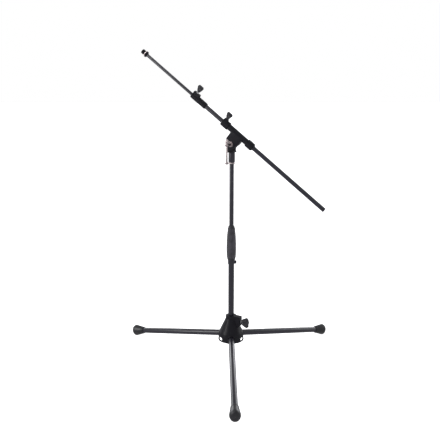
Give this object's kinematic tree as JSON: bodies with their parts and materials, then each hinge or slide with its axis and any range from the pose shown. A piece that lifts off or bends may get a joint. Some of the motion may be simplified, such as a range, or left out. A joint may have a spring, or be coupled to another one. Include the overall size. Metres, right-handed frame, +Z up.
{
  "type": "boom microphone stand",
  "caption": "Low folding tripod stand with a sliding two-part column, twist-grip clutch, tilting T-bar head and a telescopic boom ending in a microphone thread.",
  "frame": {"origin": "the point on the floor straight under the column, in the plane of the boots' soles", "axes": "+Z up along the column, -Y along the front leg, which points to the viewer; +X to the side that the boom's rear end points to"},
  "size_m": [0.742, 0.6469, 1.0512],
  "materials": {
    "tube_coat": "satin black powder coat on steel tube",
    "cast_black": "fine-textured black paint on zinc castings",
    "moulded_black": "moulded black glass-filled nylon",
    "knob_plastic": "fine-grained black plastic",
    "boot_rubber": "smooth black rubber",
    "grip_rubber": "ribbed dark rubber",
    "bright_chrome": "polished chrome plate",
    "plain_steel": "zinc-plated steel",
    "nylon": "dark nylon"
  },
  "bodies": {
    "hub": {"base_hub": "moulded_black", "leg_pivot_pins": "plain_steel", "hub_clamp_shoe": "nylon"},
    "leg_front": {"leg_front_tube": "tube_coat", "leg_front_knuckle": "cast_black", "leg_front_boot": "boot_rubber"},
    "leg_right": {"leg_right_tube": "tube_coat", "leg_right_knuckle": "cast_black", "leg_right_boot": "boot_rubber"},
    "leg_left": {"leg_left_tube": "tube_coat", "leg_left_knuckle": "cast_black", "leg_left_boot": "boot_rubber"},
    "hub_knob": {"hub_knob": "knob_plastic", "hub_knob_screw": "plain_steel"},
    "column": {"lower_tube": "tube_coat", "lower_stop_ring": "cast_black", "clutch_collar": "cast_black", "clutch_collar_screw": "plain_steel"},
    "grip": {"grip_core": "moulded_black", "grip_sleeve": "grip_rubber"},
    "collet": {"clutch_collet": "nylon"},
    "upper": {"upper_tube": "tube_coat", "upper_tube_bush": "nylon", "top_spigot": "bright_chrome", "head_sleeve": "moulded_black", "head_stem": "cast_black"},
    "holder": {"boom_holder": "cast_black", "holder_front_collar": "moulded_black", "holder_rear_collar": "moulded_black", "friction_washers": "nylon", "clamp_nut": "plain_steel"},
    "clamp_screw": {"clamp_screw": "bright_chrome", "clamp_washer": "bright_chrome"},
    "t_bar": {"t_bar": "bright_chrome", "t_bar_top_cap": "bright_chrome", "t_bar_bottom_cap": "bright_chrome"},
    "boom_knob": {"boom_knob": "knob_plastic", "boom_knob_screw": "plain_steel"},
    "boom_liner": {"boom_front_bush": "nylon", "boom_rear_bush": "nylon"},
    "boom": {"boom_tube": "tube_coat", "boom_rear_plug": "moulded_black", "extension_clamp": "moulded_black"},
    "extension_knob": {"extension_knob": "knob_plastic", "extension_knob_screw": "plain_steel"},
    "extension_liner": {"extension_bush": "nylon"},
    "extension": {"extension_tube": "tube_coat", "extension_inner_bush": "nylon", "tip_flange": "cast_black", "tip_stud": "cast_black"},
    "lock_ring": {"lock_ring": "bright_chrome"}
  },
  "joints": [
    {"name": "leg_front_fold", "type": "hinge", "parent": "hub", "child": "leg_front", "pos_m": [0, -0.03, 0.088], "axis": [1, 0, 0], "range_deg": [0, 79]},
    {"name": "leg_right_fold", "type": "hinge", "parent": "hub", "child": "leg_right", "pos_m": [0.02598, 0.015, 0.088], "axis": [-0.5, 0.866, 0], "range_deg": [0, 79]},
    {"name": "leg_left_fold", "type": "hinge", "parent": "hub", "child": "leg_left", "pos_m": [-0.02598, 0.015, 0.088], "axis": [-0.5, -0.866, 0], "range_deg": [0, 79]},
    {"name": "hub_knob_turn", "type": "hinge", "parent": "hub", "child": "hub_knob", "pos_m": [0, 0, 0.141], "axis": [0.866, -0.5, 0], "range_deg": [0, 270]},
    {"name": "column_slide", "type": "slide", "parent": "hub", "child": "column", "axis": [0, 0, 1], "range_m": [-0.18, 0.04]},
    {"name": "grip_twist", "type": "hinge", "parent": "column", "child": "grip", "pos_m": [0, 0, 0.41], "axis": [0, 0, 1], "range_deg": [0, 90]},
    {"name": "upper_swivel", "type": "hinge", "parent": "column", "child": "collet", "pos_m": [0, 0, 0.41], "axis": [0, 0, 1], "continuous": true},
    {"name": "upper_slide", "type": "slide", "parent": "collet", "child": "upper", "axis": [0, 0, 1], "range_m": [-0.2, 0.07]},
    {"name": "boom_tilt", "type": "hinge", "parent": "upper", "child": "holder", "pos_m": [0, 0, 0.7485], "axis": [0.3697, 0.9291, 0], "range_deg": [-95, 50]},
    {"name": "clamp_screw_turn", "type": "hinge", "parent": "holder", "child": "clamp_screw", "pos_m": [0, 0, 0.7485], "axis": [-0.3697, -0.9291, 0], "range_deg": [0, 270]},
    {"name": "t_bar_slide", "type": "slide", "parent": "clamp_screw", "child": "t_bar", "axis": [0, 0, 1], "range_m": [0, 0.048]},
    {"name": "boom_knob_turn", "type": "hinge", "parent": "holder", "child": "boom_knob", "pos_m": [-0.02354, 0.00937, 0.81565], "axis": [0.4605, -0.4618, 0.758], "range_deg": [0, 270]},
    {"name": "boom_roll", "type": "hinge", "parent": "holder", "child": "boom_liner", "pos_m": [0.02131, -0.00848, 0.77754], "axis": [0.7292, -0.2902, -0.6198], "continuous": true},
    {"name": "boom_slide", "type": "slide", "parent": "boom_liner", "child": "boom", "axis": [-0.7292, 0.2902, 0.6198], "range_m": [-0.065, 0.29]},
    {"name": "extension_knob_turn", "type": "hinge", "parent": "boom", "child": "extension_knob", "pos_m": [-0.11833, 0.04709, 0.89622], "axis": [0.4605, -0.4618, 0.758], "range_deg": [0, 270]},
    {"name": "extension_roll", "type": "hinge", "parent": "boom", "child": "extension_liner", "pos_m": [-0.12088, 0.0481, 0.89839], "axis": [0.7292, -0.2902, -0.6198], "continuous": true},
    {"name": "extension_slide", "type": "slide", "parent": "extension_liner", "child": "extension", "axis": [-0.7292, 0.2902, 0.6198], "range_m": [-0.2, 0.2]},
    {"name": "lock_ring_turn", "type": "hinge", "parent": "extension", "child": "lock_ring", "pos_m": [-0.28304, 0.11264, 1.03623], "axis": [-0.7292, 0.2902, 0.6198], "continuous": true}
  ]
}
